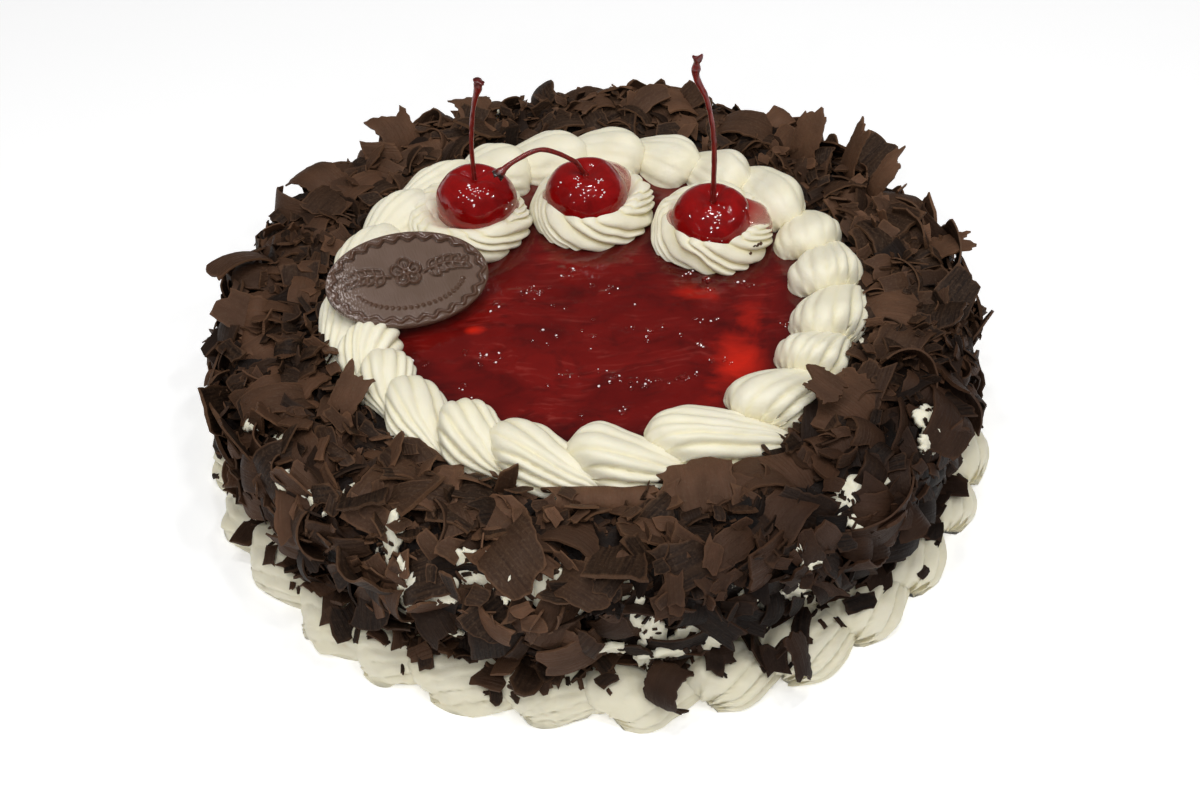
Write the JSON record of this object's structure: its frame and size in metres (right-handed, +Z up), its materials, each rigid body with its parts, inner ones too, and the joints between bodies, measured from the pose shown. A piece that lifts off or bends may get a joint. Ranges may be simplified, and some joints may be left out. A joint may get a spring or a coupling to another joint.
{
  "type": "black forest cake",
  "caption": "Low round cake coated in chocolate shavings, with piped cream borders, a cherry jelly pool, cherries in cream nests and an oval chocolate plaque.",
  "frame": {"origin": "middle of the flat underside of the cake, on the surface that it stands on", "axes": "+Z up; the front of the cake faces -Y, with the cherries towards +Y and the plaque towards -X"},
  "size_m": [0.2423, 0.2419, 0.1126],
  "materials": {
    "shavings": "matte",
    "cream": "satin",
    "jelly": "gloss",
    "cherry": "gloss",
    "stalk": "satin",
    "plaque": "satin"
  },
  "bodies": {
    "root": {"cake_body": "shavings", "foot_border": "cream", "piped_ring": "cream", "cherry_jelly": "jelly", "cream_nest_1": "cream", "cherry_1": "cherry", "cherry_stalk_1": "stalk", "cream_nest_2": "cream", "cherry_2": "cherry", "cherry_stalk_2": "stalk", "cream_nest_3": "cream", "cherry_3": "cherry", "cherry_stalk_3": "stalk", "chocolate_plaque": "plaque"}
  },
  "joints": []
}
